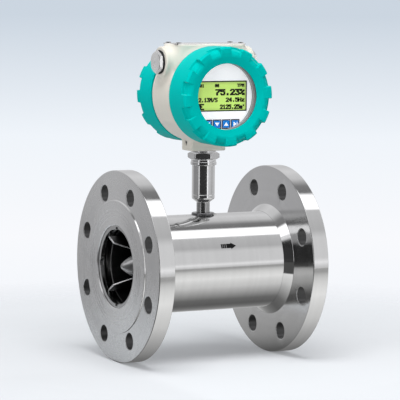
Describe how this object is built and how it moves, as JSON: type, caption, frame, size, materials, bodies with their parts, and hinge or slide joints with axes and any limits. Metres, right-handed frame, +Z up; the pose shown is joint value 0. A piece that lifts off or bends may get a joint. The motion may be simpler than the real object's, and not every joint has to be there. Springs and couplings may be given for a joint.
{
  "type": "turbine flow meter",
  "caption": "Flanged inline turbine flow meter with a spinning rotor and a swivelling display head that has screwed covers and keys.",
  "frame": {"origin": "centre of the inlet flange's sealing face, on the pipe axis", "axes": "+X along the pipe in the direction of flow, +Z up the neck to the display head, the display looks along -Y"},
  "size_m": [0.2, 0.2, 0.3322],
  "materials": {
    "satin_steel": "machined satin stainless steel",
    "bright_steel": "turned and polished stainless steel",
    "bright_plating": "bright nickel plating",
    "housing_paint": "smooth warm white powder coat on cast aluminium",
    "cover_paint": "smooth teal powder coat on cast aluminium",
    "black_rubber": "matte black rubber",
    "window": "clear flat glass",
    "ring_grey": "grey moulded plastic",
    "face_white": "white printed panel",
    "display_green": "backlit yellow-green display in a dark frame",
    "key_blue": "blue key caps with white symbols",
    "board_green": "green printed circuit board",
    "brass": "turned brass",
    "terminal_green": "green moulded terminal block",
    "hard_metal": "ground tungsten carbide",
    "coil_wrap": "varnished coil winding in amber tape",
    "lead_grey": "dark grey cable sheath"
  },
  "bodies": {
    "meter": {"inlet_flange": "satin_steel", "outlet_flange": "satin_steel", "meter_body": "bright_steel", "inlet_lock_ring": "satin_steel", "outlet_lock_ring": "satin_steel", "inlet_guide_hub": "satin_steel", "outlet_guide_hub": "satin_steel", "inlet_guide_vanes": "satin_steel", "outlet_guide_vanes": "satin_steel", "inlet_bearing_bush": "hard_metal", "outlet_bearing_bush": "hard_metal", "inlet_thrust_pad": "hard_metal", "outlet_thrust_pad": "hard_metal", "pickup_boss": "satin_steel", "boss_screw": "bright_steel", "neck_tube": "bright_plating", "pickup_coil": "coil_wrap", "pickup_lead": "lead_grey"},
    "turbine": {"rotor": "satin_steel", "rotor_shaft": "bright_steel"},
    "nut_washer": {"neck_washer": "bright_steel"},
    "nut": {"lock_nut": "bright_plating"},
    "head": {"housing": "housing_paint", "set_screw": "bright_steel", "top_plate": "satin_steel", "top_plate_screws": "bright_steel", "face_plate": "face_white", "lcd_module": "display_green", "display_board": "board_green", "face_plate_posts": "brass", "display_posts": "brass", "main_board": "board_green", "main_board_posts": "brass", "terminal_posts": "brass", "terminal_board": "board_green", "terminal_block": "terminal_green", "terminal_screws": "bright_steel", "pickup_connector": "ring_grey"},
    "window_stack": {"front_cover_seal": "black_rubber", "window_gasket": "black_rubber", "window_glass": "window", "window_retainer": "ring_grey"},
    "window_cover": {"front_cover": "cover_paint"},
    "rear_seal": {"rear_cover_seal": "black_rubber"},
    "back_cover": {"rear_cover": "cover_paint"},
    "left_washer": {"left_plug_washer": "black_rubber"},
    "left_plug": {"left_cable_plug": "bright_steel"},
    "right_washer": {"right_plug_washer": "black_rubber"},
    "right_plug": {"right_cable_plug": "bright_steel"},
    "back_button": {"key_back": "key_blue"},
    "down_button": {"key_down": "key_blue"},
    "up_button": {"key_up": "key_blue"},
    "next_button": {"key_next": "key_blue"}
  },
  "joints": [
    {"name": "rotor_spin", "type": "hinge", "parent": "meter", "child": "turbine", "pos_m": [0.1, 0, 0], "axis": [1, 0, 0], "continuous": true},
    {"name": "nut_travel", "type": "slide", "parent": "meter", "child": "nut_washer", "axis": [0, 0, -1], "range_m": [0, 0.0005]},
    {"name": "nut_turn", "type": "hinge", "parent": "nut_washer", "child": "nut", "pos_m": [0.1024, 0, 0.113], "axis": [0, 0, -1], "range_deg": [0, 120]},
    {"name": "head_swivel", "type": "hinge", "parent": "meter", "child": "head", "pos_m": [0.1024, 0, 0.12], "axis": [0, 0, 1], "range_deg": [-175, 175]},
    {"name": "front_cover_travel", "type": "slide", "parent": "head", "child": "window_stack", "axis": [0, -1, 0], "range_m": [0, 0.01]},
    {"name": "front_cover_turn", "type": "hinge", "parent": "window_stack", "child": "window_cover", "pos_m": [0.1024, -0.037, 0.1773], "axis": [0, -1, 0], "range_deg": [0, 1800]},
    {"name": "rear_cover_travel", "type": "slide", "parent": "head", "child": "rear_seal", "axis": [0, 1, 0], "range_m": [0, 0.01]},
    {"name": "rear_cover_turn", "type": "hinge", "parent": "rear_seal", "child": "back_cover", "pos_m": [0.1024, 0.04, 0.1773], "axis": [0, 1, 0], "range_deg": [0, 1800]},
    {"name": "left_plug_travel", "type": "slide", "parent": "head", "child": "left_washer", "axis": [-1, 0, 0], "range_m": [0, 0.0105]},
    {"name": "left_plug_turn", "type": "hinge", "parent": "left_washer", "child": "left_plug", "pos_m": [0.0484, 0, 0.2115], "axis": [-1, 0, 0], "range_deg": [0, 2520]},
    {"name": "right_plug_travel", "type": "slide", "parent": "head", "child": "right_washer", "axis": [1, 0, 0], "range_m": [0, 0.0105]},
    {"name": "right_plug_turn", "type": "hinge", "parent": "right_washer", "child": "right_plug", "pos_m": [0.1564, 0, 0.2115], "axis": [1, 0, 0], "range_deg": [0, 2520]},
    {"name": "back_press", "type": "slide", "parent": "head", "child": "back_button", "axis": [0, 1, 0], "range_m": [0, 0.0004], "stiffness_N_per_m": 800, "springref_m": -0.0005},
    {"name": "down_press", "type": "slide", "parent": "head", "child": "down_button", "axis": [0, 1, 0], "range_m": [0, 0.0004], "stiffness_N_per_m": 800, "springref_m": -0.0005},
    {"name": "up_press", "type": "slide", "parent": "head", "child": "up_button", "axis": [0, 1, 0], "range_m": [0, 0.0004], "stiffness_N_per_m": 800, "springref_m": -0.0005},
    {"name": "next_press", "type": "slide", "parent": "head", "child": "next_button", "axis": [0, 1, 0], "range_m": [0, 0.0004], "stiffness_N_per_m": 800, "springref_m": -0.0005}
  ],
  "couplings": [
    {"joint": "nut_travel", "follows": "nut_turn", "m_per_rad": 0.00023873},
    {"joint": "front_cover_travel", "follows": "front_cover_turn", "m_per_rad": 0.00031831},
    {"joint": "rear_cover_travel", "follows": "rear_cover_turn", "m_per_rad": 0.00031831},
    {"joint": "left_plug_travel", "follows": "left_plug_turn", "m_per_rad": 0.00023873},
    {"joint": "right_plug_travel", "follows": "right_plug_turn", "m_per_rad": 0.00023873}
  ]
}
